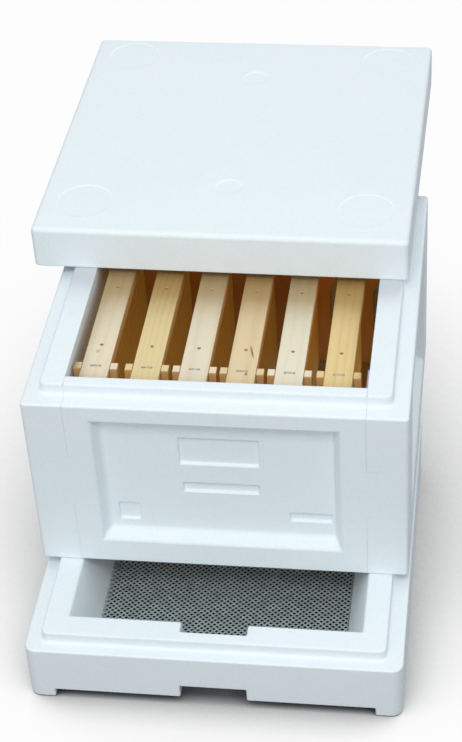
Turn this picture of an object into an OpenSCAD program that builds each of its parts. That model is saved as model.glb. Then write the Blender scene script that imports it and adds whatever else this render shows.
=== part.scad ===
// Polystyrene mating nuc: a floor with a mesh, a box of four finger-jointed walls that holds six
// frames, and a roof. The stack is shown opened in steps: the box is set back on the lip of the
// floor, and the roof is set back on the lip of the box.
// Lengths are in millimetres. X is across the frames, Y runs from the entrance to the back, Z is up,
// and the origin lies on the ground in the middle of the front left foot.

/* [Box] */
// Width of the box and of the floor
box_w = 294; // [284:1:330]
// Depth of the box and of the floor
box_d = 294; // [284:1:330]
// Height of the walls from their foot to their rim
wall_h = 162; // [150:0.5:200]
// Thickness of the two side walls
side_wall_t = 32; // [30:0.5:34]
// Thickness of the front and back walls below the frame ledge
end_wall_t = 35; // [33:0.5:37]
// Thickness of the front and back walls above the frame ledge
end_lip_t = 24.5; // [20:0.5:26]
// Radius of the upright outer corners
box_corner_r = 3; // [1:0.5:6]
// Gap of the glued seams between the wall panels
seam_gap = 0.1; // [0.1:0.1:0.6]
// Height of the lowest finger of a corner joint
lower_finger_h = 62; // [50:1:70]
// Height of the middle finger of a corner joint
middle_finger_h = 47.5; // [40:0.5:55]

/* [Rim and lip] */
// Width of the rim beside the lip along the sides
side_rim_w = 13; // [11:0.5:15]
// Width of the rim beside the lip along the front and back of the floor
end_rim_w = 10; // [8:0.5:12]
// Width of the rim beside the lip along the front and back of the box
box_end_rim_w = 13.5; // [10:0.5:16]
// Height of the lip above the rim
lip_h = 10; // [8:0.5:12]
// Radius of the outer corners of the lip
lip_corner_r = 6; // [2:0.5:9]
// Play between a lip and the rebate that drops over it
lip_play = 0.75; // [0.3:0.05:1.5]

/* [Recessed panels] */
// Depth of the recessed panel in each wall
panel_depth = 10; // [6:0.5:11]
// Border from the recessed panel to the upright corners
panel_side_border = 52; // [45:1:70]
// Border from the recessed panel down to the foot
panel_foot_border = 24; // [14:0.5:26]
// Border from the recessed panel up to the rim
panel_rim_border = 15.5; // [10:0.5:24]
// How far the sides of the recessed panel slope inwards
panel_slope = 5.5; // [2:0.5:6.5]
// Depth of the four blank label pockets in the front panel
pocket_depth = 2.5; // [0.5:0.1:3]

/* [Floor] */
// Height of the floor from the ground to its rim
floor_rim_h = 51.5; // [48:0.5:65]
// Thickness of the front and back walls of the floor at the lip
floor_end_t = 30; // [27:0.5:33]
// Radius of the upright outer corners of the floor
floor_corner_r = 9; // [4:0.5:12]
// Height of the corner feet
foot_h = 8; // [5:0.5:12]
// Width of the corner feet
foot_w = 21; // [16:0.5:26]
// How far the walls of the well slope inwards
well_slope = 15.5; // [8:0.5:18]
// Height of the underside of the mesh above the ground
mesh_height = 19; // [15:0.5:24]
// Width of the entrance
entrance_w = 52; // [30:1:80]
// Height of the top of the entrance above the ground
entrance_top = 20; // [18:0.5:26]
// Depth of the entrance channel that is cut into the front lip
entrance_channel_d = 10; // [6:0.5:14]

/* [Mesh] */
// Thickness of the mesh
mesh_t = 1.2; // [0.8:0.1:2]
// Distance between parallel strands
mesh_pitch = 13; // [12.5:0.5:20]
// Width of a strand
mesh_strand_w = 2.2; // [1:0.1:3]
// Width of the edge of the mesh that is moulded into the floor
mesh_edge = 6; // [3:0.5:8]

/* [Roof] */
// Height of the roof
roof_h = 37; // [30:1:60]
// How far the roof overhangs the side walls of a closed box
roof_side_overhang = 5.5; // [0:0.5:10]
// How far the roof overhangs the front and back walls of a closed box
roof_end_overhang = 6; // [0:0.5:10]
// Radius of the top edges and the upright corners of the roof
roof_edge_r = 4; // [3:0.5:9]
// Diameter of the four ring marks near the corners
corner_ring_d = 43; // [30:1:50]
// Diameter of the two ring marks on the centre line
middle_ring_d = 19; // [10:1:26]
// Width of a ring mark
ring_w = 1.2; // [0.6:0.1:2]
// Depth of a ring mark
ring_depth = 0.4; // [0.2:0.1:1]

/* [Frames] */
// Width of the shoulders of a side bar, which space the frames
side_bar_w = 34; // [30:0.5:35]
// Thickness of a side bar
side_bar_t = 8; // [6:0.5:10]
// Width of a side bar below its shoulders
side_bar_waist_w = 24; // [20:0.5:28]
// Height of the shoulders of a side bar
shoulder_h = 60; // [40:1:75]
// Height of the slope from the shoulders to the waist
shoulder_slope_h = 10; // [4:1:16]
// Width of a top bar
top_bar_w = 22; // [20:0.5:25]
// Thickness of a top bar
top_bar_t = 10; // [8:0.5:12]
// Width of a bottom bar
bottom_bar_w = 14; // [10:0.5:18]
// Thickness of a bottom bar
bottom_bar_t = 9; // [7:0.5:12]
// How far the top bars lie below the top of the lip
frame_drop = 7; // [5:0.5:9]
// Gap from the bottom bars to the foot of the box
frame_foot_gap = 7.5; // [5:0.5:12]
// Gap from the side bars to the front and back walls
frame_end_gap = 7; // [5:0.5:9]
// Gap from the end of a lug to the wall behind it
lug_end_gap = 2; // [1:0.5:4]
// Play of the bars in their notches
bar_play = 0.1; // [0.05:0.05:0.3]
// Diameter of the wire holes through the bars
wire_hole_d = 2.4; // [1.5:0.1:3]
// Distance between the wire holes
wire_hole_step = 75; // [50:1:85]

/* [Foundation] */
// Thickness of a sheet of wax foundation
foundation_t = 2.2; // [1.6:0.1:3]
// Depth of the grooves that hold the foundation
foundation_groove = 3; // [2:0.5:4]
// Play of the foundation in its grooves
foundation_play = 0.2; // [0.1:0.05:0.4]
// Gap from the foundation to the side bars
foundation_end_gap = 0.8; // [0.4:0.1:0.9]

/* [Staples] */
// Length of the crown of a staple
staple_crown = 8; // [6:0.5:12]
// Width of the flat staple wire
staple_wire_w = 1.2; // [0.8:0.1:1.6]
// Thickness of the flat staple wire
staple_wire_t = 0.8; // [0.5:0.1:1.2]
// Length of the legs of a staple
staple_leg = 15; // [13:0.5:25]
// Play of the staple legs in the wood
staple_play = 0.05; // [0.02:0.01:0.1]

/* [Opened stack] */
// How far the box is set back on the floor
box_setback = 92; // [50:1:120]
// How far the box is shifted to the left
box_shift = 1; // [0:0.5:8]
// How far the roof is set back on the box
roof_setback = 166; // [60:1:180]
// How far the roof is shifted to the left
roof_shift = 13.5; // [0:0.5:20]
// How far the roof is turned, in degrees
roof_turn = -0.8; // [-3:0.1:3]

/* [Hidden] */
$fn = 64;
// Overrun that takes a cut clear of the face it starts from
overrun = 5;

// Heights of the stack, from the ground up
floor_lip_top = floor_rim_h + lip_h;
box_foot = floor_lip_top;
box_rim = box_foot + wall_h;
box_lip_top = box_rim + lip_h;
roof_foot = box_lip_top;

// Room inside the box
inner_w = box_w - 2 * side_wall_t;
inner_d = box_d - 2 * end_wall_t;
ledge_d = box_d - 2 * end_lip_t;

// Recessed panels
panel_h = wall_h - panel_foot_border - panel_rim_border;
front_panel_w = box_w - 2 * panel_side_border;
side_panel_w = box_d - 2 * panel_side_border;
// Blank label pockets: middle across, middle up, width and height as shares of the front panel
pocket_shares = [
    [0.006, 0.724, 0.326, 0.215],
    [0.006, 0.42, 0.312, 0.074],
    [-0.386, 0.189, 0.087, 0.142],
    [0.372, 0.199, 0.174, 0.07]
];

// Well of the floor
well_top_w = box_w - 2 * side_wall_t;
well_top_d = box_d - 2 * floor_end_t;
well_w = well_top_w - 2 * well_slope;
well_d = well_top_d - 2 * well_slope;
mesh_w = well_w + 2 * mesh_edge;
mesh_d = well_d + 2 * mesh_edge;

// Roof
roof_w = box_w + 2 * roof_side_overhang;
roof_d = box_d + 2 * roof_end_overhang;
// Ring marks: places as shares of the width and the depth of the roof
across_ring_shares = [-0.379, 0.379];
along_ring_shares = [-0.361, 0.403];
middle_ring_shares = [-0.272, 0.293];

// Frames
frame_top = box_lip_top - frame_drop;
frame_foot = box_foot + frame_foot_gap;
ledge_z = frame_top - top_bar_t;
frame_l = inner_d - 2 * frame_end_gap;
top_bar_l = ledge_d - 2 * lug_end_gap;
side_bar_y = (frame_l - side_bar_t) / 2;
foundation_l = frame_l - 2 * side_bar_t - 2 * foundation_end_gap;
foundation_top = ledge_z + foundation_groove - foundation_play;
foundation_foot = frame_foot + bottom_bar_t - foundation_groove + foundation_play;
// Least room that stays free across the box, so that the frames can be lifted out
frame_room_min = 6;
// The box holds as many frames as fit
frame_count = floor((inner_w - frame_room_min) / side_bar_w);
frame_room = inner_w - frame_count * side_bar_w;
// Gaps from the left wall to the first frame, between the frames and to the right wall,
// as shares of the room that the frames leave
frame_gap_shares = [0.081, 0.223, 0.115, 0.096, 0.096, 0.135, 0.254];

// Colours
foam_colour = "#edf2f5";
steel_colour = "#8d9494";
wax_colour = "#7a4a14";
wood_colours = ["#e6d8ba", "#e8cf96", "#ead9c0", "#e9d3ac", "#e4d9c0", "#e9ce90"];

FRAME_PIECES = ["top_bar", "front_side_bar", "rear_side_bar", "bottom_bar", "foundation", "staples"];

function frame_node(i, piece) = str("frame_", i, "_", piece);

// Sum of the first count gap shares, which start again where the list ends
function gap_share(count) =
    count == 0 ? 0 : frame_gap_shares[(count - 1) % len(frame_gap_shares)] + gap_share(count - 1);

// Middle of frame i across the box
function frame_x(i) =
    frame_room * gap_share(i) / gap_share(frame_count + 1)
    + (i - 1) * side_bar_w + (side_bar_w - inner_w) / 2;

function wood_colour(i) = wood_colours[(i - 1) % len(wood_colours)];

module up(z) {
    translate([0, 0, z]) children();
}

// Block that is centred in X and Y and stands on Z = 0
module block(w, d, h) {
    translate([-w / 2, -d / 2, 0]) cube([w, d, h]);
}

// Block with rounded upright corners
module rounded_block(w, d, h, r) {
    block(w - 2 * r, d, h);
    block(w, d - 2 * r, h);
    for (x = [-1, 1], y = [-1, 1])
        translate([x * (w / 2 - r), y * (d / 2 - r), 0]) cylinder(h = h, r = r);
}

// Slab whose top edges and upright corners share one radius
module pillow_slab(w, d, h, r) {
    rounded_block(w, d, h - r, r);
    block(w - 2 * r, d - 2 * r, h);
    for (x = [-1, 1], y = [-1, 1])
        translate([x * (w / 2 - r), y * (d / 2 - r), h - r]) sphere(r = r);
    for (y = [-1, 1])
        translate([0, y * (d / 2 - r), h - r])
            rotate([0, 90, 0]) cylinder(h = w - 2 * r, r = r, center = true);
    for (x = [-1, 1])
        translate([x * (w / 2 - r), 0, h - r])
            rotate([90, 0, 0]) cylinder(h = d - 2 * r, r = r, center = true);
}

// Outline of a lip with the given rim at its ends, from the foot of a piece up to the top of its lip
module lip_block(h, end_rim) {
    rounded_block(box_w - 2 * side_rim_w, box_d - 2 * end_rim, h, lip_corner_r);
}

// Room for such a lip below, cut upwards from Z = 0
module lip_rebate(end_rim) {
    up(-overrun)
        rounded_block(
            box_w - 2 * (side_rim_w - lip_play),
            box_d - 2 * (end_rim - lip_play),
            lip_h + lip_play + overrun,
            lip_corner_r
        );
}

// Places what is drawn about the middle of the floor
module on_ground() {
    translate([(box_w - foot_w) / 2, (box_d - foot_w) / 2, 0]) children();
}

// Places what is drawn about the middle of the box, from its foot up
module on_floor() {
    on_ground() translate([-box_shift, box_setback, box_foot]) children();
}

// Profile of a recessed panel of the given width, from the face of a wall at Y = 0 inwards
module panel_profile(w) {
    polygon([
        [-w / 2, -overrun],
        [w / 2, -overrun],
        [w / 2, 0],
        [w / 2 - panel_slope, panel_depth],
        [panel_slope - w / 2, panel_depth],
        [-w / 2, 0]
    ]);
}

// Cut of a recessed panel into the wall that faces -Y at the given distance from the middle
module panel_cut(w, reach) {
    translate([0, -reach, panel_foot_border + panel_h / 2]) intersection() {
        linear_extrude(panel_h, center = true) panel_profile(w);
        rotate([0, 90, 0]) linear_extrude(w, center = true) panel_profile(panel_h);
    }
}

module label_pockets() {
    for (s = pocket_shares)
        translate([
            s[0] * front_panel_w,
            -box_d / 2 + panel_depth,
            panel_foot_border + (s[1] - s[3] / 2) * panel_h
        ])
            block(s[2] * front_panel_w, 2 * pocket_depth, s[3] * panel_h);
}

// All four walls as one ring, standing on Z = 0
module wall_ring() {
    difference() {
        union() {
            rounded_block(box_w, box_d, wall_h, box_corner_r);
            lip_block(wall_h + lip_h, box_end_rim_w);
        }
        up(-overrun) block(inner_w, inner_d, wall_h + lip_h + 2 * overrun);
        up(ledge_z - box_foot) block(inner_w, ledge_d, wall_h);
        lip_rebate(end_rim_w);
        for (side = [0, 180])
            rotate(side) panel_cut(front_panel_w, box_d / 2);
        for (side = [90, 270])
            rotate(side) panel_cut(side_panel_w, box_w / 2);
        label_pockets();
    }
}

// Room that the front wall fills: its panel and the middle fingers at both ends
module front_zone() {
    reach = box_d / 2 + overrun;
    translate([0, -(reach + inner_d / 2) / 2, -overrun])
        block(inner_w - 2 * seam_gap, reach - inner_d / 2, wall_h + lip_h + 2 * overrun);
    translate([0, -(reach + inner_d / 2 + seam_gap) / 2, lower_finger_h + seam_gap])
        block(box_w + 2 * overrun, reach - inner_d / 2 - seam_gap, middle_finger_h - 2 * seam_gap);
}

// Room that the left wall fills: all of its side but the middle fingers of the end walls
module left_zone() {
    reach = box_w / 2 + overrun;
    translate([-(reach + inner_w / 2) / 2, 0, -overrun])
        difference() {
            block(reach - inner_w / 2, box_d + 2 * overrun, wall_h + lip_h + 2 * overrun);
            for (side = [-1, 1])
                translate([0, side * (box_d / 2 + overrun), lower_finger_h + overrun])
                    block(2 * reach, 2 * (end_wall_t + overrun), middle_finger_h);
        }
}

module front_wall() {
    color(foam_colour) on_floor() intersection() {
        wall_ring();
        front_zone();
    }
}

module back_wall() {
    color(foam_colour) on_floor() intersection() {
        wall_ring();
        rotate(180) front_zone();
    }
}

module left_wall() {
    color(foam_colour) on_floor() intersection() {
        wall_ring();
        left_zone();
    }
}

module right_wall() {
    color(foam_colour) on_floor() intersection() {
        wall_ring();
        rotate(180) left_zone();
    }
}

// Profile of the well from the mesh up, with the given widths at the mesh and at the lip
module well_profile(w, top_w) {
    polygon([
        [-w / 2, mesh_height],
        [w / 2, mesh_height],
        [top_w / 2, floor_lip_top],
        [top_w / 2, floor_lip_top + overrun],
        [-top_w / 2, floor_lip_top + overrun],
        [-top_w / 2, floor_lip_top]
    ]);
}

// Well above the mesh, with all four walls sloping inwards
module well() {
    intersection() {
        rotate([90, 0, 0]) linear_extrude(box_d, center = true) well_profile(well_w, well_top_w);
        rotate([90, 0, 90]) linear_extrude(box_w, center = true) well_profile(well_d, well_top_d);
    }
}

// Way in from under the front edge and up the channel in the front lip
module entrance() {
    channel_front = -(well_top_d / 2 + entrance_channel_d);
    translate([-entrance_w / 2, -box_d / 2 - overrun, 0])
        cube([entrance_w, box_d / 2 + overrun + channel_front + overrun, entrance_top]);
    translate([-entrance_w / 2, channel_front, 0])
        cube([entrance_w, -well_d / 2 - channel_front, floor_lip_top + overrun]);
}

module floor_tray() {
    color(foam_colour) on_ground() difference() {
        union() {
            rounded_block(box_w, box_d, floor_rim_h, floor_corner_r);
            lip_block(floor_lip_top, end_rim_w);
        }
        well();
        up(-overrun) block(well_w, well_d, mesh_height + 2 * overrun);
        up(mesh_height) block(mesh_w, mesh_d, mesh_t);
        up(-overrun) block(box_w - 2 * foot_w, box_d + 2 * overrun, foot_h + overrun);
        up(-overrun) block(box_w + 2 * overrun, box_d - 2 * foot_w, foot_h + overrun);
        entrance();
    }
}

// Parallel strands that cover a panel of the given reach
module strands(reach) {
    count = ceil(reach / mesh_pitch);
    for (i = [-count : count])
        translate([i * mesh_pitch, 0]) square([mesh_strand_w, 2 * reach], center = true);
}

module floor_mesh() {
    reach = (mesh_w + mesh_d) / (2 * sqrt(2));
    color(steel_colour) on_ground() up(mesh_height) linear_extrude(mesh_t) {
        intersection() {
            square([mesh_w, mesh_d], center = true);
            union() {
                rotate(45) strands(reach);
                rotate(-45) strands(reach);
            }
        }
        // Outer strand, which lies inside the foam and holds the ends of the others
        difference() {
            square([mesh_w, mesh_d], center = true);
            square([mesh_w - 2 * mesh_strand_w, mesh_d - 2 * mesh_strand_w], center = true);
        }
    }
}

module ring_mark(d) {
    translate([0, 0, roof_h - ring_depth]) difference() {
        cylinder(h = ring_depth + overrun, d = d);
        cylinder(h = ring_depth + overrun, d = d - 2 * ring_w);
    }
}

module roof() {
    color(foam_colour) on_ground()
    translate([-roof_shift, box_setback + roof_setback, roof_foot]) rotate(roof_turn) difference() {
        pillow_slab(roof_w, roof_d, roof_h, roof_edge_r);
        lip_rebate(box_end_rim_w);
        for (x = across_ring_shares, y = along_ring_shares)
            translate([x * roof_w, y * roof_d, 0]) ring_mark(corner_ring_d);
        for (share = middle_ring_shares)
            translate([0, share * roof_d, 0]) ring_mark(middle_ring_d);
    }
}

module place_frame(i) {
    on_ground() translate([frame_x(i) - box_shift, box_setback, 0]) children();
}

// Both legs of a staple at the front or rear end of a frame, made larger by the given play
module staple_legs(side, play) {
    for (x = [-1, 1])
        translate([
            x * (staple_crown - staple_wire_t) / 2,
            side * side_bar_y,
            frame_top + staple_wire_t - staple_leg - play
        ])
            block(staple_wire_t + 2 * play, staple_wire_w + 2 * play, staple_leg + play);
}

module wire_holes(z, h) {
    for (y = [-1, 0, 1])
        translate([0, y * wire_hole_step, z - overrun]) cylinder(h = h + 2 * overrun, d = wire_hole_d);
}

// Groove for the foundation, from z over the given height
module foundation_slot(z, h) {
    up(z) block(foundation_t + 2 * foundation_play, foundation_l + 2 * foundation_end_gap, h);
}

module top_bar(i) {
    color(wood_colour(i)) place_frame(i) difference() {
        up(ledge_z) block(top_bar_w, top_bar_l, top_bar_t);
        foundation_slot(ledge_z - overrun, foundation_groove + overrun);
        wire_holes(ledge_z, top_bar_t);
        for (side = [-1, 1])
            staple_legs(side, staple_play);
    }
}

// Outline of a side bar across the frame
module side_bar_outline() {
    shoulder_foot = frame_top - shoulder_h;
    waist_top = shoulder_foot - shoulder_slope_h;
    polygon([
        [-side_bar_w / 2, frame_top],
        [-side_bar_w / 2, shoulder_foot],
        [-side_bar_waist_w / 2, waist_top],
        [-side_bar_waist_w / 2, frame_foot],
        [side_bar_waist_w / 2, frame_foot],
        [side_bar_waist_w / 2, waist_top],
        [side_bar_w / 2, shoulder_foot],
        [side_bar_w / 2, frame_top]
    ]);
}

// Side bar at the front (-1) or rear (1) of frame i, notched for the top and bottom bars
module side_bar(i, side) {
    color(wood_colour(i)) place_frame(i) difference() {
        translate([0, side * side_bar_y, 0])
            rotate([90, 0, 0]) linear_extrude(side_bar_t, center = true) side_bar_outline();
        up(ledge_z) block(top_bar_w + 2 * bar_play, top_bar_l, top_bar_t + overrun);
        up(frame_foot - overrun)
            block(bottom_bar_w + 2 * bar_play, top_bar_l, bottom_bar_t + overrun);
        staple_legs(side, staple_play);
    }
}

module bottom_bar(i) {
    color(wood_colour(i)) place_frame(i) difference() {
        up(frame_foot) block(bottom_bar_w, frame_l, bottom_bar_t);
        foundation_slot(frame_foot + bottom_bar_t - foundation_groove, foundation_groove + overrun);
        wire_holes(frame_foot, bottom_bar_t);
    }
}

module foundation(i) {
    color(wax_colour) place_frame(i) up(foundation_foot)
        block(foundation_t, foundation_l, foundation_top - foundation_foot);
}

module staples(i) {
    color(steel_colour) place_frame(i)
        for (side = [-1, 1]) {
            staple_legs(side, 0);
            translate([0, side * side_bar_y, frame_top])
                block(staple_crown, staple_wire_w, staple_wire_t);
        }
}

floor_tray();
floor_mesh();
front_wall();
back_wall();
left_wall();
right_wall();
roof();
for (i = [1 : frame_count]) {
    top_bar(i);
    side_bar(i, -1);
    side_bar(i, 1);
    bottom_bar(i);
    foundation(i);
    staples(i);
}
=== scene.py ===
"""Looks of an opened mating nuc: foam floor with a screen, foam box with six frames, foam roof."""

import logging
import math
from collections.abc import Callable, Iterator, Sequence
from dataclasses import dataclass, field
from enum import Enum

import bmesh
import bpy
import numpy as np
from mathutils import Euler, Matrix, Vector
from mathutils.bvhtree import BVHTree


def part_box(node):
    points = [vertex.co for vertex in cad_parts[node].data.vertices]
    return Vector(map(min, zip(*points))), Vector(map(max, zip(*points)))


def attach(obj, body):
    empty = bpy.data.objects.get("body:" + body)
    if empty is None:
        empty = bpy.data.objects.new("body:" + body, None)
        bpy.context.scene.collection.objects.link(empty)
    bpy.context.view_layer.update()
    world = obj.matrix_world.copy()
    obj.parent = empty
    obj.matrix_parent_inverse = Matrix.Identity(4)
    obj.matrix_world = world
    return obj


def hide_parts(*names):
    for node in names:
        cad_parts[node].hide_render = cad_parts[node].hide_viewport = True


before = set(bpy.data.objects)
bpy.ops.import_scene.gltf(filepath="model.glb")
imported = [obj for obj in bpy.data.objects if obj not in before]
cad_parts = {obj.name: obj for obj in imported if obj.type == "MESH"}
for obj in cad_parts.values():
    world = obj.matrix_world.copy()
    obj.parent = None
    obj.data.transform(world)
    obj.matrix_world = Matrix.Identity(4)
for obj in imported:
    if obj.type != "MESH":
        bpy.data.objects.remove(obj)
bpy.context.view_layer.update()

LOG = logging.getLogger("nuc")
MM = 0.001
Triple = tuple[float, float, float]
Span = tuple[float, float]
Face = tuple[int, ...]
Colour = Triple
SocketKey = int | str
WHITE: Colour = (1.0, 1.0, 1.0)


def paint(red: int, green: int, blue: int) -> Colour:
    """Turn a colour as it shows on a screen into the linear one that a shader takes.

    Args:
        red: Red from 0 to 255.
        green: Green from 0 to 255.
        blue: Blue from 0 to 255.

    Returns:
        The linear colour, by the usual sRGB curve.
    """
    shares = (red / 255, green / 255, blue / 255)
    return tuple(s / 12.92 if s <= 0.04045 else ((s + 0.055) / 1.055) ** 2.4 for s in shares)


class Value:
    """A shader value: one output socket of a recipe, with Python's operators."""

    def __init__(self, recipe: "Recipe", socket: bpy.types.NodeSocket) -> None:
        """Keep the recipe that the socket belongs to."""
        self.recipe = recipe
        self.socket = socket

    def _maths(self, operation: str, *terms: "Value | float") -> "Value":
        """Add one Math node with these terms."""
        return self.recipe.node("ShaderNodeMath", {"operation": operation}, dict(enumerate(terms)))

    def __add__(self, other: "Value | float") -> "Value":
        """Add a value."""
        return self._maths("ADD", self, other)

    __radd__ = __add__

    def __sub__(self, other: "Value | float") -> "Value":
        """Take a value away."""
        return self._maths("SUBTRACT", self, other)

    def __rsub__(self, other: float) -> "Value":
        """Take this away from a number."""
        return self._maths("SUBTRACT", other, self)

    def __mul__(self, other: "Value | float") -> "Value":
        """Multiply by a value."""
        return self._maths("MULTIPLY", self, other)

    __rmul__ = __mul__

    def __truediv__(self, other: "Value | float") -> "Value":
        """Divide by a value."""
        return self._maths("DIVIDE", self, other)

    def __rtruediv__(self, other: float) -> "Value":
        """Divide a number by this."""
        return self._maths("DIVIDE", other, self)

    def __pow__(self, power: float) -> "Value":
        """Raise to a power."""
        return self._maths("POWER", self, power)

    def __rpow__(self, base: float) -> "Value":
        """Raise a number to this power."""
        return self._maths("POWER", base, self)

    def wave(self) -> "Value":
        """Give the sine of this value."""
        return self._maths("SINE", self)

    def root(self) -> "Value":
        """Give the square root of this value."""
        return self._maths("SQRT", self)

    def between(self, low: float, high: float, start: float = 0.0, end: float = 1.0) -> "Value":
        """Map a span of this value smoothly onto another span.

        Args:
            low: Value that gives start.
            high: Value that gives end.
            start: Result at and below low.
            end: Result at and above high.

        Returns:
            The mapped value.
        """
        spans = {"Value": self, "From Min": low, "From Max": high, "To Min": start, "To Max": end}
        return self.recipe.node("ShaderNodeMapRange", {"interpolation_type": "SMOOTHSTEP"}, spans)


class Recipe:
    """The node tree of one finish, or of the sky."""

    shift_shares: Triple = (1.0, 1.7, 2.3)
    lying_span: Span = (0.4, 0.8)

    def __init__(self, owner: bpy.types.Material | bpy.types.World) -> None:
        """Start with an empty tree.

        Args:
            owner: The material or the world that the tree belongs to.
        """
        self.owner = owner
        owner.use_nodes = True
        self.tree = owner.node_tree
        self.tree.nodes.clear()

    def _add(
        self, kind: str, settings: dict[str, object], sockets: dict[SocketKey, object]
    ) -> bpy.types.Node:
        """Add a node and fill it in.

        Args:
            kind: The node's type.
            settings: Its settings, which are set first.
            sockets: The values or links of its input sockets.

        Returns:
            The node.
        """
        made = self.tree.nodes.new(kind)
        for name, setting in settings.items():
            setattr(made, name, setting)
        for key, value in sockets.items():
            socket = made.inputs[key]
            if isinstance(value, Value):
                self.tree.links.new(value.socket, socket)
            elif isinstance(value, tuple) and len(socket.default_value) > len(value):
                socket.default_value = (*value, 1.0)
            else:
                socket.default_value = value
        return made

    def node(
        self,
        kind: str,
        settings: dict[str, object] | None = None,
        sockets: dict[SocketKey, object] | None = None,
        output: SocketKey = 0,
    ) -> Value:
        """Add any node and give one of its outputs."""
        return Value(self, self._add(kind, settings or {}, sockets or {}).outputs[output])

    def spot(self) -> Value:
        """Give the place on the piece, in metres."""
        return self.node("ShaderNodeTexCoord", output="Object")

    def stretched(self, spot: Value, scale: Triple, shift: float = 0.0) -> Value:
        """Scale a place along each axis and shift it, so that each wood has its own pattern."""
        sockets = {0: spot, 1: scale, 2: tuple(shift * share for share in self.shift_shares)}
        return self.node("ShaderNodeVectorMath", {"operation": "MULTIPLY_ADD"}, sockets)

    def axis(self, vector: Value, name: str) -> Value:
        """Give one axis of a vector."""
        return self.node("ShaderNodeSeparateXYZ", None, {0: vector}, name)

    def noise(
        self, vector: Value, scale: float, detail: float = 2.0, roughness: float = 0.5
    ) -> Value:
        """Give a cloudy pattern from 0 to 1."""
        sockets = {"Vector": vector, "Scale": scale, "Detail": detail, "Roughness": roughness}
        return self.node("ShaderNodeTexNoise", None, sockets, "Fac")

    def beads(self, vector: Value, scale: float) -> Value:
        """Give the distance to the nearest border between packed cells."""
        settings, sockets = {"feature": "DISTANCE_TO_EDGE"}, {"Vector": vector, "Scale": scale}
        return self.node("ShaderNodeTexVoronoi", settings, sockets, "Distance")

    def lying(self) -> Value:
        """Give 1 on faces that look up and 0 on upright ones."""
        normal = self.node("ShaderNodeNewGeometry", output="Normal")
        return self.axis(normal, "Z").between(*self.lying_span)

    def openness(self, reach: float) -> Value:
        """Give the share of the room that a place sees past everything within this reach."""
        return self.node("ShaderNodeAmbientOcclusion", None, {"Distance": reach}, "AO")

    def mix(self, factor: Value, first: Value | Colour, second: Value | Colour) -> Value:
        """Blend two colours."""
        sockets = {0: factor, 6: first, 7: second}
        return self.node("ShaderNodeMix", {"data_type": "RGBA"}, sockets, 2)

    def relief(
        self, height: Value, depth: float, strength: float, below: Value | None = None
    ) -> Value:
        """Turn a height into a bumped normal.

        Args:
            height: The height from 0 to 1.
            depth: What a height of 1 stands for, in metres.
            strength: How much of the bump shows.
            below: A normal that this relief lies on.

        Returns:
            The normal.
        """
        sockets = {"Strength": strength, "Distance": depth, "Height": height}
        if below is not None:
            sockets["Normal"] = below
        return self.node("ShaderNodeBump", None, sockets, "Normal")

    def finish(self, **sockets: object) -> bpy.types.Material:
        """Close the recipe with one shader.

        Args:
            sockets: The shader's sockets, with an underscore for each space.

        Returns:
            The finished material.
        """
        named = {key.replace("_", " "): value for key, value in sockets.items()}
        shader = self.node("ShaderNodeBsdfPrincipled", None, named)
        return self.closed(shader)

    def to_the_eye(self) -> Value:
        """Tell what the eye sees, straight on, mirrored or through something, from other light.

        Returns:
            1 for what the eye sees and 0 for other light.
        """
        rays = ("Is Camera Ray", "Is Glossy Ray", "Is Transmission Ray")
        seen, mirrored, through = (self.node("ShaderNodeLightPath", output=ray) for ray in rays)
        return (seen + mirrored + through).between(0.0, 1.0)

    def closed(self, shader: Value) -> bpy.types.Material | bpy.types.World:
        """Send a shader to the output.

        Args:
            shader: The shader.

        Returns:
            The owner of the tree.
        """
        world = isinstance(self.owner, bpy.types.World)
        kind = "ShaderNodeOutputWorld" if world else "ShaderNodeOutputMaterial"
        self._add(kind, {}, {"Surface": shader})
        return self.owner


@dataclass(frozen=True)
class FoamFinish:
    """White expanded foam: packed beads under a closed, slightly silky skin."""

    name: str = "foam_skin"
    white: Colour = paint(236, 244, 248)
    seam: Colour = paint(218, 228, 233)
    bead: float = 3.6 * MM
    border_share: float = 0.12
    border_tone: float = 0.16
    border_depth: float = 0.12 * MM
    warp_scale: float = 60.0
    warp_tone: float = 0.12
    cloud_scale: float = 9.0
    cloud_tone: float = 0.3
    skin_scale: float = 900.0
    skin_depth: float = 0.05 * MM
    rough: float = 0.5
    # From lip_z up, faces that look up get painted shade where the roof hides the room
    lip_z: float | None = None
    lip_rise: float = 2 * MM
    lip_shade: Colour = paint(200, 206, 211)
    shade_reach: float = 100 * MM
    shade_span: Span = (0.75, 0.97)

    def material(self) -> bpy.types.Material:
        """Mix the beads, their borders and a faint mottling, with painted shade on the lip under
        the roof where lip_z is given.

        Returns:
            The finished material.
        """
        recipe = Recipe(bpy.data.materials.new(self.name))
        spot = recipe.spot()
        warp = recipe.noise(spot, self.warp_scale)
        border = recipe.beads(spot, 1 / self.bead).between(0.0, self.border_share)
        fine = recipe.noise(spot, self.skin_scale, 3.0, 0.6)
        cloud = recipe.noise(spot, self.cloud_scale, 4.0, 0.55)
        tone = (1 - border) * self.border_tone + (1 - cloud) * self.cloud_tone
        colour = recipe.mix(tone + warp * self.warp_tone, self.white, self.seam)
        # Painted shade on the lip's top under the roof
        if self.lip_z is not None:
            colour = recipe.mix(self._under_roof(recipe, spot), colour, self.lip_shade)
        rough = self.rough + fine * 0.12 + (1 - border) * 0.1
        skin = recipe.relief(fine, self.skin_depth, 0.3)
        normal = recipe.relief(border, self.border_depth, 0.35, skin)
        return recipe.finish(Base_Color=colour, Roughness=rough, Normal=normal, IOR=1.4)

    def _under_roof(self, recipe: Recipe, spot: Value) -> Value:
        """Find where painted shade darkens the lip's top under the roof, by ambient occlusion.

        Args:
            recipe: The foam's recipe.
            spot: The place on the piece.

        Returns:
            How deep the place lies in the shade, from 0 to 1.
        """
        high = recipe.axis(spot, "Z").between(self.lip_z, self.lip_z + self.lip_rise)
        hidden = 1 - recipe.openness(self.shade_reach).between(*self.shade_span)
        return hidden * high * recipe.lying()


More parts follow.
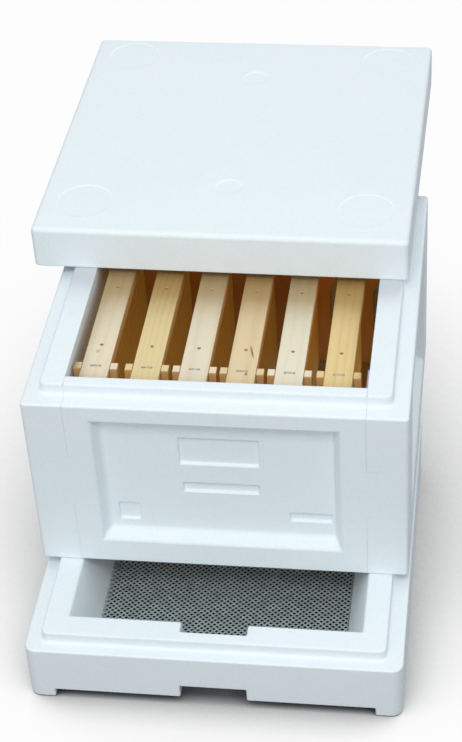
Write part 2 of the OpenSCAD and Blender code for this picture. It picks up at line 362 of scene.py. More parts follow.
class Grain(Enum):
    """Which way the fibres of a bar run."""

    ALONG = "Y"
    UPRIGHT = "Z"


@dataclass(frozen=True)
class Knot:
    """A streak or a stain in the wood of a bar."""

    place: Span
    width: float
    length: float
    colour: Colour
    slant: float = 0.0


@dataclass(frozen=True)
class WoodFinish:
    """Planed softwood with growth rings, fibres and now and then a streak."""

    name: str
    pale: Colour
    late: Colour
    pith: Span
    ring: float = 3.2 * MM
    wander: float = 26 * MM
    shift: float = 0.0
    stain_shift: float = 5.0
    knots: tuple[Knot, ...] = ()
    knot_span: Span = (0.55, 1.0)
    knot_cover: float = 0.9
    slow_scale: Span = (7.0, 2.5)
    fibre_scale: Span = (1100.0, 16.0)
    relief_depth: float = 0.08 * MM
    # Painted shade: a warmer, darker tan for the faces that don't look up
    shaded_flank: Colour = paint(212, 164, 102)
    # Painted shade: multiplier and occlusion span that darken and warm the wood under the roof
    shade: Colour = (0.5, 0.4, 0.26)
    shade_reach: float = 100 * MM
    shade_span: Span = (0.73, 0.965)

    def material(self, grain: Grain) -> bpy.types.Material:
        """Mix the wood of one bar.

        Args:
            grain: Which way the fibres run.

        Returns:
            The finished material.
        """
        recipe = Recipe(bpy.data.materials.new(f"{self.name}_{grain.name.lower()}"))
        spot = recipe.spot()
        across = recipe.axis(spot, "X")
        deep = recipe.axis(spot, "Y" if grain is Grain.UPRIGHT else "Z")
        slow, thin = (self._scales(pair, grain) for pair in (self.slow_scale, self.fibre_scale))
        bend = recipe.noise(recipe.stretched(spot, slow, self.shift), 1.0)
        fibre = recipe.noise(recipe.stretched(spot, thin, self.shift), 1.0, 3.0, 0.65)
        stain = recipe.noise(recipe.stretched(spot, slow, self.shift + self.stain_shift), 2.2, 3.0)
        side = across - self.pith[0] + (bend - 0.5) * self.wander
        depth = deep - self.pith[1]
        radius = (side * side + depth * depth).root()
        ring = (radius * (2 * math.pi / self.ring)).wave() * 0.5 + 0.5
        late_share = ring**3
        mottle = late_share * 0.2 + (fibre - 0.5) * 0.35 + (stain - 0.5) * 0.4
        tone = (mottle + 0.1).between(0.0, 1.0)
        # Painted shade: the wood turns deeper and warmer where the roof and walls hide the room
        open_share = recipe.openness(self.shade_reach).between(*self.shade_span)
        hues = (self.pale, self.late)
        pale, late = (recipe.mix(open_share, self._shaded(hue), hue) for hue in hues)
        colour = recipe.mix(tone, pale, late)
        for knot in self.knots:
            colour = self._streak(recipe, spot, knot, colour, fibre)
        # Painted shade: faces that don't look up take the darker tan
        colour = recipe.mix(recipe.lying(), recipe.mix(tone, self.shaded_flank, self.late), colour)
        rough = 0.52 + fibre * 0.2
        normal = recipe.relief(fibre + late_share * 0.5, self.relief_depth, 0.4)
        return recipe.finish(Base_Color=colour, Roughness=rough, Normal=normal, IOR=1.45)

    def _scales(self, pair: Span, grain: Grain) -> Triple:
        """Spread a scale across the fibres and one along them over the three axes."""
        wide, long = pair
        return (wide, wide, long) if grain is Grain.UPRIGHT else (wide, long, wide)

    def _shaded(self, hue: Colour) -> Colour:
        """Give a colour's painted shade: deeper and warmer, as close under the roof."""
        return tuple(part * share for part, share in zip(hue, self.shade))

    def _streak(
        self, recipe: Recipe, spot: Value, knot: Knot, colour: Value, fibre: Value
    ) -> Value:
        """Lay one streak over the wood.

        Args:
            recipe: The wood's recipe.
            spot: The place on the piece.
            knot: The streak.
            colour: The wood's colour so far.
            fibre: The fibres, which fray the streak's edge.

        Returns:
            The new colour.
        """
        along = recipe.axis(spot, "Y") - knot.place[1]
        across = (recipe.axis(spot, "X") - knot.place[0] - along * knot.slant) / knot.width
        along = along / knot.length
        away = (across * across + along * along).root() + (fibre - 0.5) * 0.6
        return recipe.mix(away.between(*self.knot_span, self.knot_cover, 0.0), colour, knot.colour)


@dataclass(frozen=True)
class WaxFinish:
    """Brown beeswax foundation with a faint painted glow, which stands in for light seeping through
    the thin sheet.
    """

    name: str = "wax_sheet"
    brown: Colour = paint(216, 174, 92)
    dark: Colour = paint(196, 148, 66)
    # Painted glow: emission colour and strength, though the wax is no lamp
    painted_glow: Colour = paint(200, 152, 50)
    painted_glow_level: float = 0.1
    cloud_scale: float = 22.0
    bloom_scale: float = 260.0
    bloom_depth: float = 0.1 * MM

    def material(self) -> bpy.types.Material:
        """Mix the wax from two browns with a faint bloom, and give it a faint painted glow.

        Returns:
            The finished material.
        """
        recipe = Recipe(bpy.data.materials.new(self.name))
        spot = recipe.spot()
        cloud = recipe.noise(spot, self.cloud_scale, 4.0, 0.6)
        bloom = recipe.noise(spot, self.bloom_scale, 3.0, 0.6)
        tone = (cloud * 0.8 + bloom * 0.4).between(0.35, 0.85)
        return recipe.finish(
            Base_Color=recipe.mix(tone, self.brown, self.dark),
            Roughness=0.38 + bloom * 0.2,
            Normal=recipe.relief(bloom, self.bloom_depth, 0.4),
            IOR=1.44,
            Emission_Color=recipe.mix(cloud, self.painted_glow, self.dark),
            Emission_Strength=self.painted_glow_level,
        )


@dataclass(frozen=True)
class MottledFinish:
    """A surface mottled in two tones: dull metal, or painted shade on the walls of a hole."""

    name: str
    pale: Colour
    dull: Colour
    metal: float
    rough: float
    grain: float
    fineness: float = 12.0
    relief_depth: float = 0.03 * MM

    def material(self) -> bpy.types.Material:
        """Mix the surface from its two tones.

        Returns:
            The finished material.
        """
        recipe = Recipe(bpy.data.materials.new(self.name))
        spot = recipe.spot()
        cloud = recipe.noise(spot, self.grain, 4.0, 0.6)
        fine = recipe.noise(spot, self.grain * self.fineness)
        tone = (cloud * 0.7 + fine * 0.3).between(0.35, 0.65)
        return recipe.finish(
            Base_Color=recipe.mix(tone, self.pale, self.dull),
            Roughness=self.rough + (cloud - 0.5) * 0.2,
            Normal=recipe.relief(fine, self.relief_depth, 0.4),
            Metallic=self.metal,
        )


@dataclass
class Piece:
    """One visible piece: its mesh, its body, its finish and the solids that it stands for."""

    name: str
    mesh: bpy.types.Mesh
    body: str
    slot: str
    nodes: tuple[str, ...]
    finish: bpy.types.Material
    at: Vector = field(default_factory=Vector)

    def place(self) -> bpy.types.Object:
        """Put the piece into the scene and tie it to its body.

        Returns:
            The piece's object.
        """
        if self.finish.name not in self.mesh.materials:
            self.mesh.materials.append(self.finish)
        made = bpy.data.objects.new(self.name, self.mesh)
        made.location = self.at
        bpy.context.scene.collection.objects.link(made)
        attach(made, self.body)
        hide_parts(*self.nodes)
        return made


def mesh_from(name: str, corners: np.ndarray, faces: list[Face]) -> bpy.types.Mesh:
    """Make a mesh from corners and faces.

    Args:
        name: Its name.
        corners: One row for each corner, in metres.
        faces: The corners of each face.

    Returns:
        The mesh.
    """
    mesh = bpy.data.meshes.new(name)
    mesh.from_pydata(corners.tolist(), [], faces)
    mesh.validate()
    return mesh


def held(mesh: bpy.types.Mesh) -> bpy.types.Object:
    """Put a mesh into the scene for as long as its modifiers are needed.

    Args:
        mesh: The mesh.

    Returns:
        The object that holds it.
    """
    holder = bpy.data.objects.new("holder", mesh)
    bpy.context.scene.collection.objects.link(holder)
    return holder


def applied(holder: bpy.types.Object) -> bpy.types.Mesh:
    """Apply a holder's modifiers and take the holder away.

    Args:
        holder: The object with its modifiers.

    Returns:
        The new mesh.
    """
    graph = bpy.context.evaluated_depsgraph_get()
    done = holder.evaluated_get(graph)
    mesh = bpy.data.meshes.new_from_object(done, preserve_all_data_layers=True, depsgraph=graph)
    bpy.data.objects.remove(holder)
    return mesh


@dataclass(frozen=True)
class SoftEdges:
    """Rounds the edges of a solid, and leaves only a fine line at its seams with other solids."""

    width: float
    fillet: float = 0.0
    segments: int = 3
    flat: float = math.radians(0.5)
    sharp: float = math.radians(20.0)
    seam_r: float = 0.08 * MM
    seam_reach: float = 0.4 * MM
    seam_probes: tuple[float, ...] = (0.04, 0.25, 0.5, 0.75, 0.96)
    in_line: float = 0.9999
    shortest: float = 0.15 * MM
    weld: float = 0.001 * MM
    level: float = 0.02 * MM
    room_share: float = 0.45

    @property
    def widest(self) -> float:
        """Give the larger of the two roundings."""
        return max(self.fillet, self.width)

    def cut(
        self,
        node: str,
        neighbours: Sequence[str] = (),
        shaping: Callable[[bmesh.types.BMesh], None] | None = None,
    ) -> bpy.types.Mesh:
        """Copy a solid's mesh and round it.

        Args:
            node: The solid.
            neighbours: Solids that it is glued to.
            shaping: What is done to the copy before it is rounded.

        Returns:
            The rounded mesh.
        """
        shape = bmesh.new()
        shape.from_mesh(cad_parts[node].data)
        bmesh.ops.remove_doubles(shape, verts=shape.verts[:], dist=self.weld)
        bmesh.ops.dissolve_limit(
            shape, angle_limit=self.flat, verts=shape.verts[:], edges=shape.edges[:]
        )
        if shaping:
            shaping(shape)
        layer = shape.edges.layers.float.new("bevel_weight_edge")
        seams = self._seams(shape, [self._tree(name) for name in neighbours])
        corners = np.array([vert.co for vert in shape.verts])
        for edge in shape.edges:
            edge[layer] = self._weight(edge, corners, edge in seams)
            edge.smooth = edge[layer] > 0.0 or edge.calc_face_angle(0.0) < self.sharp
        for face in shape.faces:
            face.smooth = True
        mesh = bpy.data.meshes.new(node)
        shape.to_mesh(mesh)
        shape.free()
        return self._rounded(mesh)

    def _tree(self, node: str) -> BVHTree:
        """Give a solid's surface in a form that can be searched.

        Args:
            node: The solid.

        Returns:
            The search tree.
        """
        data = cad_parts[node].data
        corners = [vert.co.copy() for vert in data.vertices]
        return BVHTree.FromPolygons(corners, [tuple(face.vertices) for face in data.polygons])

    def _seams(
        self, shape: bmesh.types.BMesh, trees: Sequence[BVHTree]
    ) -> set[bmesh.types.BMEdge]:
        """Find the edges that lie against a neighbour.

        Args:
            shape: The solid's mesh.
            trees: The surfaces of its neighbours.

        Returns:
            Those edges, and the ones that carry on in line with them.
        """
        seams = {edge for edge in shape.edges if self._glued(edge, trees)}
        waiting = list(seams)
        while waiting:
            edge = waiting.pop()
            along = (edge.verts[1].co - edge.verts[0].co).normalized()
            for other in {other for vert in edge.verts for other in vert.link_edges} - seams:
                onward = (other.verts[1].co - other.verts[0].co).normalized()
                if abs(onward.dot(along)) > self.in_line:
                    seams.add(other)
                    waiting.append(other)
        return seams

    def _glued(self, edge: bmesh.types.BMEdge, trees: Sequence[BVHTree]) -> bool:
        """Tell whether any stretch of an edge lies against a neighbour.

        Args:
            edge: The edge.
            trees: The surfaces of the neighbours.

        Returns:
            Whether one of its probed places is near enough.
        """
        first, last = (vert.co for vert in edge.verts)
        places = [first.lerp(last, share) for share in self.seam_probes]
        return any(
            tree.find_nearest(place, self.seam_reach)[0] for tree in trees for place in places
        )

    def _weight(self, edge: bmesh.types.BMEdge, corners: np.ndarray, seam: bool) -> float:
        """Give an edge's share of the full rounding.

        Args:
            edge: The edge.
            corners: All corners of the solid.
            seam: Whether the edge lies on a seam.

        Returns:
            The share, which is less where another edge of the same face is near.
        """
        length = edge.calc_length()
        plain = len(edge.link_faces) != 2 or edge.calc_face_angle(0.0) < self.sharp
        if plain or length < self.shortest:
            return 0.0
        wanted = self.seam_r if seam else self.width if edge.is_convex else self.widest
        start = np.array(edge.verts[0].co)
        along = (np.array(edge.verts[1].co) - start) / length
        offsets = corners - start
        places = offsets @ along
        away = np.linalg.norm(offsets - np.outer(places, along), axis=1)
        beside = (places > 0.0) & (places < length) & (away > self.level)
        line = Vector(along)
        for face in edge.link_faces:
            reach = max((vert.co - edge.verts[0].co).cross(line).length for vert in face.verts)
            coplanar = beside & (np.abs(offsets @ np.array(face.normal)) < self.level)
            wanted = min(wanted, self.room_share * min([reach, *away[coplanar]]))
        return wanted / self.widest

    def _rounded(self, mesh: bpy.types.Mesh) -> bpy.types.Mesh:
        """Bevel a mesh by its edge weights and even out its normals.

        Args:
            mesh: The mesh with its weights.

        Returns:
            The rounded mesh.
        """
        holder = held(mesh)
        bevel = holder.modifiers.new("round", "BEVEL")
        bevel.limit_method = "WEIGHT"
        bevel.offset_type = "OFFSET"
        bevel.width = self.widest
        bevel.segments = self.segments
        bevel.use_clamp_overlap = False
        bevel.loop_slide = False
        holder.modifiers.new("normals", "WEIGHTED_NORMAL").keep_sharp = True
        return applied(holder)


@dataclass
class FloorPart:
    """The floor: a foam tray on four feet and a metal screen moulded into its well."""

    foam: bpy.types.Material
    steel: bpy.types.Material
    cell_w: float = 5.0 * MM
    cell_d: float = 4.8 * MM
    strand: float = 0.85 * MM
    sheet_t: float = 0.5 * MM
    lift: float = 0.3 * MM
    edge_r: float = 1.6 * MM
    fillet_r: float = 2.4 * MM
    tips: tuple[tuple[int, int], ...] = ((1, 0), (0, 1), (-1, 0), (0, -1))

    def pieces(self) -> Iterator[Piece]:
        """Build the floor's pieces.

        Returns:
            The tray and the screen.
        """
        tray = SoftEdges(self.edge_r, self.fillet_r).cut("floor_tray")
        screen = self._screen()
        yield Piece("floor_body", tray, "floor", "foam", ("floor_tray",), self.foam)
        yield Piece("floor_screen", screen, "floor", "mesh_steel", ("floor_mesh",), self.steel)

    def _screen(self) -> bpy.types.Mesh:
        """Draw the diamonds of the screen, each strand tilted as in expanded metal.

        Returns:
            The screen's mesh.
        """
        low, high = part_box("floor_mesh")
        middle = (low + high) / 2
        half_w, half_d = self.cell_w / 2, self.cell_d / 2
        count_x = int((high.x - low.x) / self.cell_w) - 1
        count_y = int((high.y - low.y) / self.cell_d) - 1
        inner = 1 - self.strand / 2 * math.hypot(half_w, half_d) / (half_w * half_d)
        corners: list[Triple] = []
        faces: list[Face] = []
        joints: dict[tuple[int, int], int] = {}
        for i in range(-count_x, count_x + 1):
            for j in range(-count_y, count_y + 1):
                if (i + j) % 2:
                    continue
                outer, hole = [], []
                for step_x, step_y in self.tips:
                    key = (i + step_x, j + step_y)
                    if key not in joints:
                        joints[key] = len(corners)
                        joint_x, joint_y = middle.x + key[0] * half_w, middle.y + key[1] * half_d
                        corners.append((joint_x, joint_y, middle.z))
                    outer.append(joints[key])
                    hole.append(len(corners))
                    tip_x = middle.x + (i + step_x * inner) * half_w
                    tip_y = middle.y + (j + step_y * inner) * half_d
                    corners.append((tip_x, tip_y, middle.z - step_y * self.lift))
                for a in range(len(outer)):
                    b = (a + 1) % len(outer)
                    faces.append((outer[a], outer[b], hole[b], hole[a]))
        holder = held(mesh_from("floor_screen", np.array(corners), faces))
        thick = holder.modifiers.new("thick", "SOLIDIFY")
        thick.thickness = self.sheet_t
        thick.offset = 0.0
        return applied(holder)


@dataclass
class WallBox:
    """The box: four foam walls with glued finger joints."""

    foam: bpy.types.Material
    edge_r: float = 2.0 * MM
    fillet_r: float = 3.0 * MM
    walls: tuple[str, ...] = ("front_wall", "back_wall", "left_wall", "right_wall")

    def pieces(self) -> Iterator[Piece]:
        """Build the box's pieces.

        Returns:
            The four walls.
        """
        for wall in self.walls:
            others = [name for name in self.walls if name != wall]
            mesh = SoftEdges(self.edge_r, self.fillet_r).cut(wall, others)
            yield Piece(f"box_{wall}", mesh, "box", "foam", (wall,), self.foam)


@dataclass
class RoofPart:
    """The roof: one foam slab with rounded edges, ring marks and a recess below."""

    foam: bpy.types.Material
    lit_rings: bpy.types.Material
    edge_r: float = 1.5 * MM
    ring_spread: float = 1.9 * MM
    groove_most: float = 2.0 * MM
    small_ring: float = 12.0 * MM
    step_w: float = 1.2 * MM
    small_step_w: float = 1.7 * MM
    step_slope: float = 0.38
    disc_play: float = 0.05 * MM
    disc_sides: int = 12
    disc_level: float = 0.99

    def pieces(self) -> Iterator[Piece]:
        """Build the roof's piece.

        Returns:
            The slab.
        """
        mesh = SoftEdges(self.edge_r).cut("roof", shaping=self._dish_rings)
        mesh.materials.append(self.foam)
        mesh.materials.append(self.lit_rings)
        yield Piece("roof_slab", mesh, "roof", "foam", ("roof",), self.foam)

    def _dish_rings(self, shape: bmesh.types.BMesh) -> None:
        """Turn each ring groove into the soft step round a shallow dish.

        Args:
            shape: The roof's mesh.
        """
        top = max(vert.co.z for vert in shape.verts)
        for middle, radius in self._discs(shape, top):
            floor, reach = top - self.groove_most, radius + self.groove_most
            upper = [vert for vert in shape.verts if vert.co.z > floor]
            ring = {vert for vert in upper if (vert.co - middle).xy.length < reach}
            rim = max((vert.co - middle).xy.length for vert in ring)
            faces = [face for face in shape.faces if ring.issuperset(face.verts)]
            groove = [face for face in faces if not self._is_disc(face, top)]
            bmesh.ops.delete(shape, geom=groove, context="FACES")
            width = self.small_step_w if radius < self.small_ring else self.step_w
            open_edges = [edge for edge in shape.edges if edge.is_boundary]
            for vert in {vert for edge in open_edges for vert in edge.verts}:
                away = (vert.co - middle).xy
                step = width if away.length < (rim + radius) / 2 else 0.0
                spread = away.normalized() * (rim + self.ring_spread - step)
                vert.co = middle + spread.to_3d() - Vector((0, 0, step * self.step_slope))
            # The steps take the second material, whiter foam as painted light
            for face in bmesh.ops.bridge_loops(shape, edges=open_edges)["faces"]:
                face.material_index = 1
        bmesh.ops.recalc_face_normals(shape, faces=shape.faces[:])

    def _is_disc(self, face: bmesh.types.BMFace, top: float) -> bool:
        """Tell whether a face is round and lies on top.

        Args:
            face: The face.
            top: The height of the roof's upper face.

        Returns:
            Whether it is such a disc.
        """
        middle = face.calc_center_median()
        spans = [(vert.co - middle).length for vert in face.verts]
        even = max(spans) - min(spans) < self.disc_play and top - middle.z < self.disc_play
        return even and len(spans) > self.disc_sides and face.normal.z > self.disc_level

    def _discs(self, shape: bmesh.types.BMesh, top: float) -> list[tuple[Vector, float]]:
        """Find the round faces that the ring grooves leave.

        Args:
            shape: The roof's mesh.
            top: The height of its upper face.

        Returns:
            The middle and the radius of each.
        """
        found = []
        for disc in (face for face in shape.faces if self._is_disc(face, top)):
            middle = disc.calc_center_median()
            found.append((middle, (disc.verts[0].co - middle).length))
        return found


@dataclass(frozen=True)
class WaxSheet:
    """A sheet of foundation, embossed with cells on both sides."""

    node: str
    cell: float = 5.3 * MM
    dent: float = 0.6 * MM
    weld: float = 0.01 * MM
    sides: int = 6

    def mesh(self) -> bpy.types.Mesh:
        """Draw the sheet about its own middle.

        Returns:
            The sheet's mesh.
        """
        low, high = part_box(self.node)
        half = (high - low) / 2
        shape = bmesh.new()
        side = self.cell / math.sqrt(3)
        row_step = 1.5 * side
        rows = math.ceil(half.z / row_step) + 1
        columns = math.ceil(half.y / self.cell) + 1
        for row in range(-rows, rows + 1):
            for column in range(-columns, columns + 1):
                centre_y = (column + 0.5 * (row % 2)) * self.cell
                self._cell(shape, Vector((half.x, centre_y, row * row_step)), side)
        bmesh.ops.remove_doubles(shape, verts=shape.verts[:], dist=self.weld)
        for axis, reach in ((Vector((0, 1, 0)), half.y), (Vector((0, 0, 1)), half.z)):
            for normal in (axis, -axis):
                bmesh.ops.bisect_plane(
                    shape,
                    geom=shape.verts[:] + shape.edges[:] + shape.faces[:],
                    plane_co=normal * reach,
                    plane_no=normal,
                    clear_outer=True,
                )
        return self._closed(shape)

    def _cell(self, shape: bmesh.types.BMesh, centre: Vector, side: float) -> None:
        """Add one cell: ridges round a dented middle.

        Args:
            shape: The sheet's mesh.
            centre: The middle of the cell, level with its ridges.
            side: The length of a ridge.
        """
        x, y, z = centre
        middle = shape.verts.new((x - self.dent, y, z))
        ring = []
        for k in range(self.sides):
            turn = math.tau * (k + 0.5) / self.sides
            corner = (x, y + side * math.cos(turn), z + side * math.sin(turn))
            ring.append(shape.verts.new(corner))
        for k in range(self.sides):
            shape.faces.new((middle, ring[k], ring[(k + 1) % self.sides]))

    def _closed(self, shape: bmesh.types.BMesh) -> bpy.types.Mesh:
        """Mirror the embossed side and close the rim between both sides.

        Args:
            shape: The embossed side.

        Returns:
            The closed mesh.
        """
        shape.verts.index_update()
        front = np.array([vert.co for vert in shape.verts])
        count = len(front)
        faces = [tuple(vert.index for vert in face.verts) for face in shape.faces]
        rim = []
        for edge in shape.edges:
            if len(edge.link_faces) == 1:
                loop = edge.link_loops[0]
                start, end = loop.vert.index, loop.link_loop_next.vert.index
                rim.append((end, start, start + count, end + count))
        shape.free()
        back = [tuple(index + count for index in reversed(face)) for face in faces]
        both = np.vstack([front, front * (-1, 1, 1)])
        return mesh_from("wax_sheet", both, faces + back + rim)


@dataclass(frozen=True)
class StaplePair:
    """The two staples of a frame, bent from flat wire."""

    node: str
    wire_t: float = 0.8 * MM
    wire_w: float = 1.2 * MM
    chamfer: float = 0.15 * MM
    bend_steps: int = 5
    sunk: float = 0.45 * MM

    def mesh(self) -> bpy.types.Mesh:
        """Draw both staples.

        Returns:
            Their mesh.
        """
        low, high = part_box(self.node)
        middle_x = (low.x + high.x) / 2
        corners: list[Triple] = []
        faces: list[Face] = []
        for y in (low.y + self.wire_w / 2, high.y - self.wire_w / 2):
            self._bend(corners, faces, Vector((middle_x, y, high.z - self.sunk)), high - low)
        mesh = mesh_from(self.node, np.array(corners), faces)
        mesh.shade_smooth()
        return mesh

    def _path(self, size: Vector) -> list[Triple]:
        """Lay out the middle line of the wire.

        Args:
            size: The size of the staple.

        Returns:
            Places across and up, with the turn of the wire at each in degrees.
        """
        radius = self.wire_t
        reach, top = size.x / 2 - self.wire_t / 2, -self.wire_t / 2
        path = [(-reach, -size.z, 90.0), (-reach, top - radius, 90.0)]
        for step in range(1, self.bend_steps + 1):
            turn = math.radians(90 * step / self.bend_steps)
            across = -reach + radius * (1 - math.cos(turn))
            path.append((across, top - radius * (1 - math.sin(turn)), 90 - math.degrees(turn)))
        return path + [(-x, z, -turn) for x, z, turn in reversed(path)]

    def _bend(
        self, corners: list[Triple], faces: list[Face], crown: Vector, size: Vector
    ) -> None:
        """Sweep the wire's section along its path.

        Args:
            corners: The corners so far, which grow.
            faces: The faces so far, which grow.
            crown: The middle of the staple's top.
            size: The size of the staple.
        """
        half_t, half_w, cut = self.wire_t / 2, self.wire_w / 2, self.chamfer
        section = [
            (half_t - cut, -half_w), (half_t, cut - half_w),
            (half_t, half_w - cut), (half_t - cut, half_w),
            (cut - half_t, half_w), (-half_t, half_w - cut),
            (-half_t, cut - half_w), (cut - half_t, -half_w),
        ]
        sides, first, path = len(section), len(corners), self._path(size)
        for across, up, turn in path:
            out_x, out_z = -math.sin(math.radians(turn)), math.cos(math.radians(turn))
            x, z = crown.x + across, crown.z + up
            for thick, wide in section:
                corners.append((x + out_x * thick, crown.y + wide, z + out_z * thick))
        for ring in range(len(path) - 1):
            for k in range(sides):
                a, b = first + ring * sides + k, first + ring * sides + (k + 1) % sides
                faces.append((a, a + sides, b + sides, b))
        faces.append(tuple(range(first, first + sides)))
        faces.append(tuple(reversed(range(len(corners) - sides, len(corners)))))


@dataclass
class HiveFrame:
    """One frame: four wooden bars, a sheet of wax and two staples."""

    number: int
    wood: WoodFinish
    wax: bpy.types.Material
    steel: bpy.types.Material
    hole_shade: bpy.types.Material
    sheet: bpy.types.Mesh
    edge_r: float = 0.6 * MM
    edge_steps: int = 2
    hole_face: Span = (0.5 * MM**2, 6.0 * MM**2)
    wall_tilt: float = 0.1

    @property
    def body(self) -> str:
        """Name of the body that the frame moves with."""
        return f"frame_{self.number}"

    def node(self, piece: str) -> str:
        """Name of one of the frame's solids."""
        return f"{self.body}_{piece}"

    def pieces(self) -> Iterator[Piece]:
        """Build the frame's pieces.

        Returns:
            The bars, the wax and the staples.
        """
        slot = f"wood_{self.number}"
        along, upright = self.wood.material(Grain.ALONG), self.wood.material(Grain.UPRIGHT)
        bars = {
            "top_bar": along,
            "front_side_bar": upright,
            "rear_side_bar": upright,
            "bottom_bar": along,
        }
        for bar, finish in bars.items():
            node = self.node(bar)
            mesh = SoftEdges(self.edge_r, segments=self.edge_steps).cut(node)
            self._shade_holes(mesh, finish)
            yield Piece(f"{node}_wood", mesh, self.body, slot, (node,), finish)
        node = self.node("foundation")
        low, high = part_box(node)
        name, middle = f"{self.body}_wax_sheet", (low + high) / 2
        yield Piece(name, self.sheet, self.body, "wax", (node,), self.wax, middle)
        node = self.node("staples")
        name, staples = f"{self.body}_staple_wire", StaplePair(node).mesh()
        yield Piece(name, staples, self.body, "staple_steel", (node,), self.steel)

    def _shade_holes(self, mesh: bpy.types.Mesh, finish: bpy.types.Material) -> None:
        """Give the walls of the wire holes a dull finish of their own: a greyer painted shade.

        Args:
            mesh: The bar's mesh.
            finish: The bar's wood.
        """
        mesh.materials.append(finish)
        mesh.materials.append(self.hole_shade)
        least, most = self.hole_face
        for face in mesh.polygons:
            # Small upright faces are hole walls and take the painted shade
            if abs(face.normal.z) < self.wall_tilt and least < face.area < most:
                face.material_index = 1


@dataclass(frozen=True)
class Lamp:
    """One soft studio lamp."""

    name: str
    place: Triple
    aim: Triple
    size: Span
    watts: float
    colour: Colour

    def hang(self) -> None:
        """Hang the lamp in the scene."""
        light = bpy.data.lights.new(self.name, "AREA")
        light.shape = "RECTANGLE"
        light.size, light.size_y = self.size
        light.energy = self.watts
        light.color = self.colour
        lamp = bpy.data.objects.new(self.name, light)
        lamp.location = self.place
        ray = Vector(self.aim) - Vector(self.place)
        lamp.rotation_euler = ray.to_track_quat("-Z", "Y").to_euler()
        bpy.context.scene.collection.objects.link(lamp)


@dataclass(frozen=True)
class Studio:
    """Floor, light and camera."""

    lamps: tuple[Lamp, ...]
    ground: Colour = paint(84, 88, 92)
    ground_spots: Colour = paint(78, 82, 86)
    ground_size: float = 24.0
    ground_drop: float = 0.3 * MM
    white_share: float = 0.98
    # Painted shadow: occlusion reach and span that fade the floor's white near the stack
    shade_reach: float = 0.5
    shade_span: Span = (0.2, 0.85)
    # Painted shade: the colours and placing of the dark sheet under the floor's well
    shade: Colour = paint(40, 44, 50)
    shade_spots: Colour = paint(54, 58, 62)
    shade_inset: float = 24 * MM
    shade_rise: float = 0.1 * MM
    sky: Colour = (0.92, 0.97, 1.0)
    sky_level: float = 0.6
    eye: Triple = (0.3367, -0.9961, 1.1546)
    turn: Triple = (50.769, 3.066, 7.205)
    lens: float = 62.42
    film: float = 24.0
    sight: float = 50.0

    def build(self) -> None:
        """Set the stage."""
        self._ground()
        self._dark_ground()
        self._sky()
        for lamp in self.lamps:
            lamp.hang()
        self._camera()

    def _sheet(self, name: str, low: Vector, high: Vector, finish: bpy.types.Material) -> None:
        """Lay a flat sheet of the stage.

        Args:
            name: Its name.
            low: Its front left corner, which gives the height too.
            high: Its rear right corner.
            finish: Its material.
        """
        ends = ((low.x, low.y), (high.x, low.y), (high.x, high.y), (low.x, high.y))
        mesh = mesh_from(name, np.array([(x, y, low.z) for x, y in ends]), [(0, 1, 2, 3)])
        mesh.materials.append(finish)
        sheet = bpy.data.objects.new(name, mesh)
        bpy.context.scene.collection.objects.link(sheet)

    def _ground(self) -> None:
        """Lay the floor, which shows white to the eye and keeps the shadow; the white fades where
        the stack is near, partly a painted contact shadow.
        """
        recipe = Recipe(bpy.data.materials.new("pale_ground"))
        cloud = recipe.noise(recipe.spot(), 3.0)
        colour = recipe.mix(cloud * 0.2, self.ground, self.ground_spots)
        plain = recipe.node("ShaderNodeBsdfDiffuse", None, {"Color": colour})
        white = recipe.node("ShaderNodeEmission", None, {"Color": WHITE, "Strength": 1.0})
        # Painted shadow: less white where nearby solids hide the room
        open_share = recipe.openness(self.shade_reach).between(*self.shade_span)
        share = recipe.to_the_eye() * self.white_share * open_share
        mixed = recipe.node("ShaderNodeMixShader", None, {0: share, 1: plain, 2: white})
        half = self.ground_size / 2
        low, high = Vector((-half, -half, -self.ground_drop)), Vector((half, half, 0.0))
        self._sheet("ground", low, high, recipe.closed(mixed))

    def _dark_ground(self) -> None:
        """Lay a dark sheet under the floor's well: painted shade, where the ground lies in shade.
        """
        recipe = Recipe(bpy.data.materials.new("shaded_ground"))
        cloud = recipe.noise(recipe.spot(), 30.0)
        colour = recipe.mix(cloud, self.shade, self.shade_spots)
        shader = recipe.node("ShaderNodeBsdfDiffuse", None, {"Color": colour})
        low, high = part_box("floor_tray")
        inset = Vector((self.shade_inset, self.shade_inset, self.shade_rise))
        self._sheet("shaded_ground", low + inset, high - inset, recipe.closed(shader))

    def _sky(self) -> None:
        """Give the room an even, slightly cool light behind a white backdrop."""
        recipe = Recipe(bpy.data.worlds.new("room"))
        light, white = (
            recipe.node("ShaderNodeBackground", None, {"Color": colour, "Strength": level})
            for colour, level in ((self.sky, self.sky_level), (WHITE, 1.0))
        )
        sockets = {0: recipe.to_the_eye(), 1: light, 2: white}
        mixed = recipe.node("ShaderNodeMixShader", None, sockets)
        bpy.context.scene.world = recipe.closed(mixed)

    def _camera(self) -> None:
        """Look at the stack from the photographed angle."""
        data = bpy.data.cameras.new("eye")
        data.sensor_fit = "VERTICAL"
        data.sensor_height = self.film
        data.lens = self.lens
        data.clip_end = self.sight
        eye = bpy.data.objects.new("eye", data)
        eye.location = self.eye
        eye.rotation_euler = Euler([math.radians(angle) for angle in self.turn], "XYZ")
        bpy.context.scene.collection.objects.link(eye)
        bpy.context.scene.camera = eye
        bpy.context.scene.view_settings.view_transform = "Standard"


# Height over which a face of the box belongs to its upper lip, where the walls' foam paints shade
# under the roof
BOX_LIP_Z = 229 * MM

FOAM = FoamFinish()
WALL_FOAM = FoamFinish("wall_foam", lip_z=BOX_LIP_Z)
# Painted light: whiter foam on the steps of the ring marks, where they catch the light
LIT_RING_FOAM = FoamFinish("ring_step_painted_light", paint(239, 247, 250), paint(223, 232, 237))
WAX = WaxFinish()
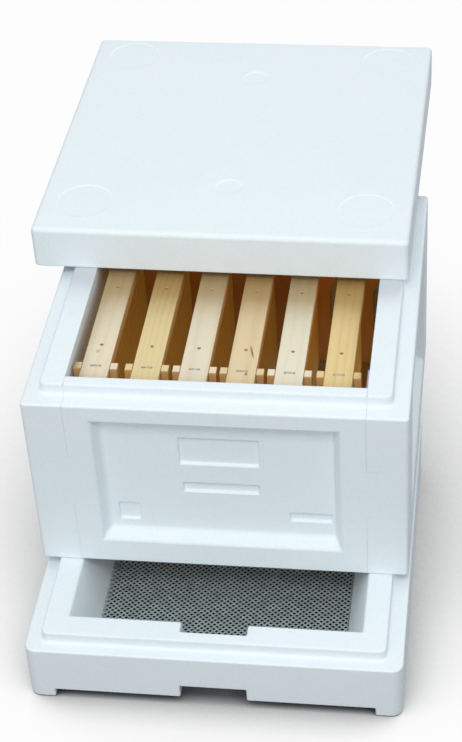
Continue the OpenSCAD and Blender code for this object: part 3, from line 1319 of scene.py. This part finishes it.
# The last sheet stands free beside the wall; a stronger painted glow lightens the gap beside it
OUTER_WAX = WaxFinish("outer_wax_sheet", painted_glow_level=0.24)
SCREEN_METAL = MottledFinish(
    "screen_metal", paint(182, 195, 193), paint(152, 164, 163), metal=0.2, rough=0.5, grain=160.0
)
STAPLE_METAL = MottledFinish(
    "staple_metal", paint(190, 190, 188), paint(134, 136, 142), metal=0.4, rough=0.45, grain=420.0
)
# Painted shade: a greyer tone for the walls of the wire holes, in place of the warm shade inside
# them
HOLE_SHADE = MottledFinish(
    "painted_hole_shade", paint(206, 188, 156), paint(170, 150, 118), metal=0.0, rough=0.8, grain=300.0
)

WOODS = (
    WoodFinish(
        "pale_spruce", paint(230, 219, 193), paint(206, 184, 142), (0.02, 0.17), shift=1.3,
        knots=(Knot((0.0382, 0.1451), 1.8 * MM, 2.6 * MM, paint(206, 172, 118)),),
    ),
    WoodFinish("honey_pine", paint(224, 205, 153), paint(201, 167, 102), (0.11, 0.19), shift=2.9),
    WoodFinish("rosy_spruce", paint(228, 217, 192), paint(204, 181, 146), (0.10, 0.16), shift=4.1),
    WoodFinish(
        "warm_spruce", paint(224, 205, 165), paint(200, 166, 118), (0.17, 0.15), shift=5.7,
        knots=(
            Knot((0.1579, 0.151), 1.0 * MM, 9.5 * MM, paint(150, 82, 44), -0.25),
            Knot((0.1565, 0.1241), 1.3 * MM, 2.2 * MM, paint(158, 84, 46)),
        ),
    ),
    WoodFinish("grey_spruce", paint(230, 222, 199), paint(206, 191, 155), (0.21, 0.17), shift=7.3),
    WoodFinish("golden_pine", paint(229, 206, 149), paint(207, 165, 98), (0.20, 0.18), shift=9.1),
)

LAMPS = (
    Lamp("top_softbox", (0.1, 0.9, 2.5), (0.13, 0.25, 0.15), (2.4, 2.4), 8.0, (1.0, 0.98, 0.99)),
    Lamp("key_softbox", (0.25, -1.3, 2.35), (0.13, 0.2, 0.15), (1.0, 0.8), 23.8, (1.0, 0.98, 0.97)),
    Lamp("side_fill", (2.5, 1.5, 0.9), (0.13, 0.25, 0.15), (1.6, 1.2), 8.0, (0.96, 1.0, 1.0)),
    Lamp("front_fill", (-0.1, -2.6, 0.95), (0.13, 0.1, 0.15), (2.2, 1.2), 18.0, (0.97, 1.0, 1.0)),
)


def main() -> None:
    """Build every sub-assembly, dress it and set the stage."""
    logging.basicConfig(level=logging.INFO, format="%(message)s")
    foam, walls, lit_rings = (finish.material() for finish in (FOAM, WALL_FOAM, LIT_RING_FOAM))
    metals = (SCREEN_METAL, STAPLE_METAL, HOLE_SHADE)
    screen, staple, hole_shade = (finish.material() for finish in metals)
    wax, outer_wax = WAX.material(), OUTER_WAX.material()
    sheet = WaxSheet("frame_1_foundation").mesh()
    sheets = [(wax, sheet)] * (len(WOODS) - 1) + [(outer_wax, sheet.copy())]
    parts = [FloorPart(foam, screen), WallBox(walls), RoofPart(foam, lit_rings)]
    for number, (wood, (waxed, cells)) in enumerate(zip(WOODS, sheets), 1):
        parts.append(HiveFrame(number, wood, waxed, staple, hole_shade, cells))
    for part in parts:
        for piece in part.pieces():
            made = piece.place()
            LOG.info("%s on %s: %d faces", made.name, piece.body, len(made.data.polygons))
    Studio(LAMPS).build()


if __name__ == "__main__":
    main()
